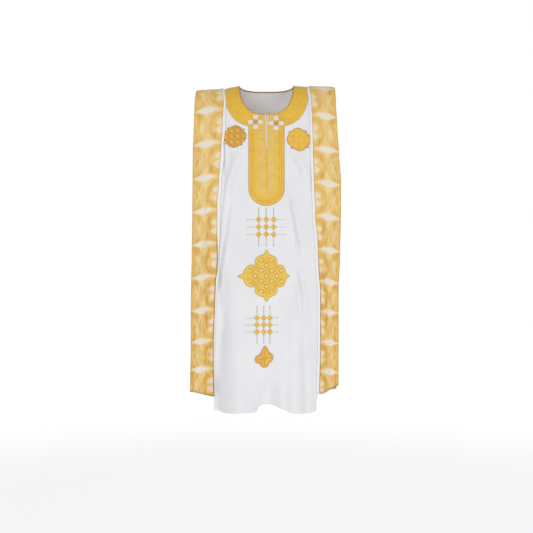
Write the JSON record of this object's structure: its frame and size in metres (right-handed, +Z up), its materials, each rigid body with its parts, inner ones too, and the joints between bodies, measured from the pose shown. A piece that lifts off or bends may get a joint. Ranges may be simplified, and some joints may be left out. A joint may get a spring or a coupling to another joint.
{
  "type": "grand boubou robe",
  "caption": "Worn grand boubou robe: white front and back breadths, folded gold brocade wings over the shoulders, round embroidered neck, slit bib and front motifs.",
  "frame": {"origin": "midway between the wearer's shoulders, at the height where the robe lies on them", "axes": "+Z up, -Y out of the front, +X to the right as seen from the front; left and right in names are as seen from the front"},
  "size_m": [0.5361, 0.264, 1.1634],
  "materials": {
    "white_cotton": "matt smooth cotton",
    "brocade": "gold and white resist-dyed damask with a soft sheen",
    "white_border": "matt white band",
    "gold_embroidery": "satin-stitched gold thread"
  },
  "bodies": {
    "root": {"back_panel": "white_cotton", "border_left": "white_border", "border_right": "white_border", "breast_bib": "gold_embroidery", "clover": "gold_embroidery", "diamond_grid_lower": "gold_embroidery", "diamond_grid_upper": "gold_embroidery", "front_panel": "white_cotton", "knot_medallion": "gold_embroidery", "neck_band_back": "gold_embroidery", "neck_band_left": "gold_embroidery", "neck_band_right": "gold_embroidery", "rosette_left": "gold_embroidery", "rosette_right": "gold_embroidery", "wing_left": "brocade", "wing_right": "brocade"}
  },
  "joints": []
}
